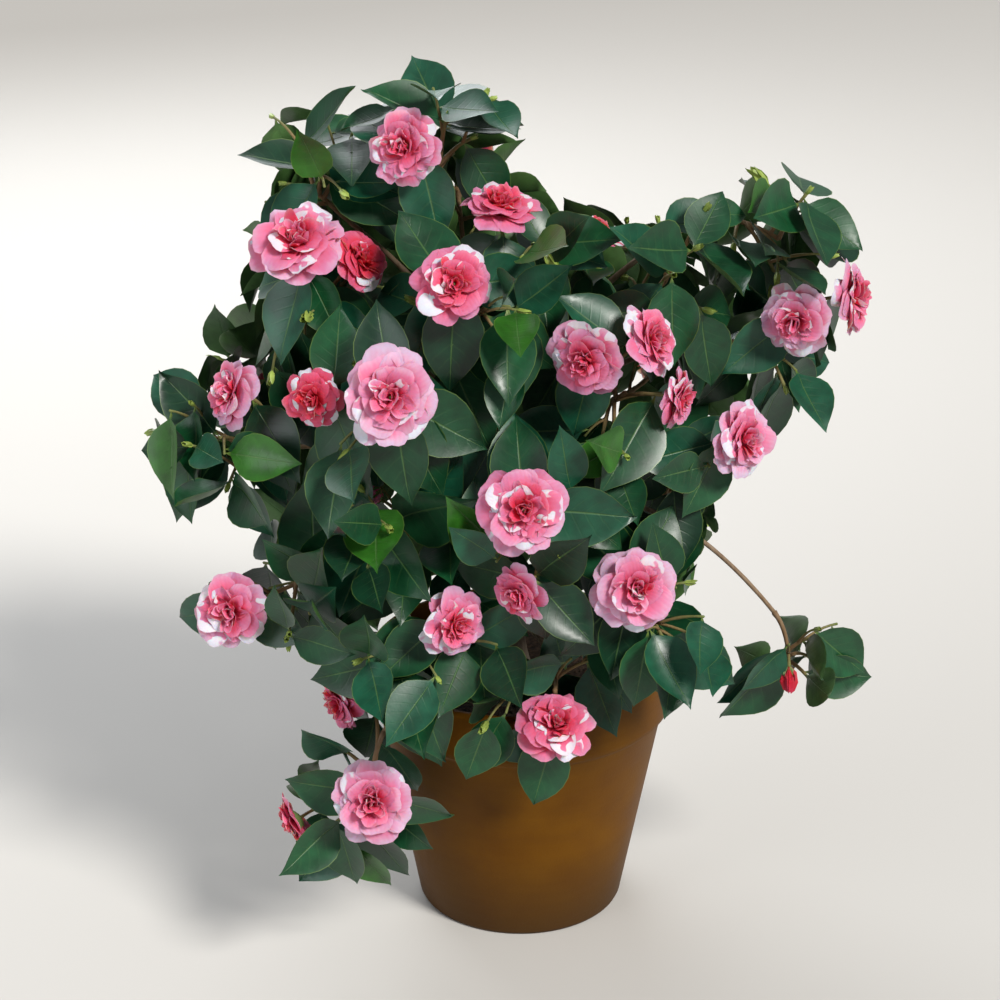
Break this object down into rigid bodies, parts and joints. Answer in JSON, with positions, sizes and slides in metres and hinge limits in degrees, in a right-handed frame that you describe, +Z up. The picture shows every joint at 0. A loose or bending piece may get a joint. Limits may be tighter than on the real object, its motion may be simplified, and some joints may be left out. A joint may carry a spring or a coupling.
{
  "type": "camellia shrub",
  "caption": "Camellia shrub in full bloom with glossy dark leaves and double pink flowers, growing in a round clay-coloured pot.",
  "frame": {"origin": "the middle of the pot's flat underside, on the ground", "axes": "+Z up along the pot's upright axis; the picture looks along +Y from the shrub's front, so the front is the -Y side and +X is to the right"},
  "size_m": [0.6772, 0.5311, 0.8455],
  "materials": {
    "pot": "satin",
    "compost": "matte",
    "bark": "matte",
    "foliage": "satin"
  },
  "bodies": {
    "root": {"pot": "pot", "compost": "compost", "trunk": "bark", "bough_top_left": "bark", "bough_left_upper": "bark", "bough_arch": "bark", "bough_right_top": "bark", "bough_right_cluster": "bark", "bough_right_mid": "bark", "bough_centre": "bark", "bough_centre_left": "bark", "bough_far_left": "bark", "bough_right": "bark", "bough_right_tip": "bark", "bough_centre_low": "bark", "bough_left_low": "bark", "bough_right_front": "bark", "bough_low_centre": "bark", "bough_hanging": "bark", "bough_bottom": "bark", "bough_back_left_top": "bark", "bough_back": "bark", "bough_back_right": "bark", "bough_back_left": "bark", "bough_back_low": "bark", "bough_back_left_low": "bark", "bough_back_right_low": "bark", "leaves_top_left": "foliage", "leaves_top": "foliage", "leaves_upper_right": "foliage", "leaves_left_upper": "foliage", "leaves_centre_upper": "foliage", "leaves_centre": "foliage", "leaves_arch": "foliage", "leaves_right_top": "foliage", "leaves_right_cluster": "foliage", "leaves_right_mid": "foliage", "leaves_far_left": "foliage", "leaves_centre_left": "foliage", "leaves_right": "foliage", "leaves_right_tip": "foliage", "leaves_left_low": "foliage", "leaves_centre_low": "foliage", "leaves_right_front": "foliage", "leaves_low_centre": "foliage", "leaves_bottom": "foliage", "leaves_hanging": "foliage", "leaves_back_top": "foliage", "leaves_back_left_top": "foliage", "leaves_back_right_top": "foliage", "leaves_back_left": "foliage", "leaves_back": "foliage", "leaves_back_right": "foliage", "leaves_back_left_low": "foliage", "leaves_back_low": "foliage", "leaves_back_right_low": "foliage"}
  },
  "joints": []
}
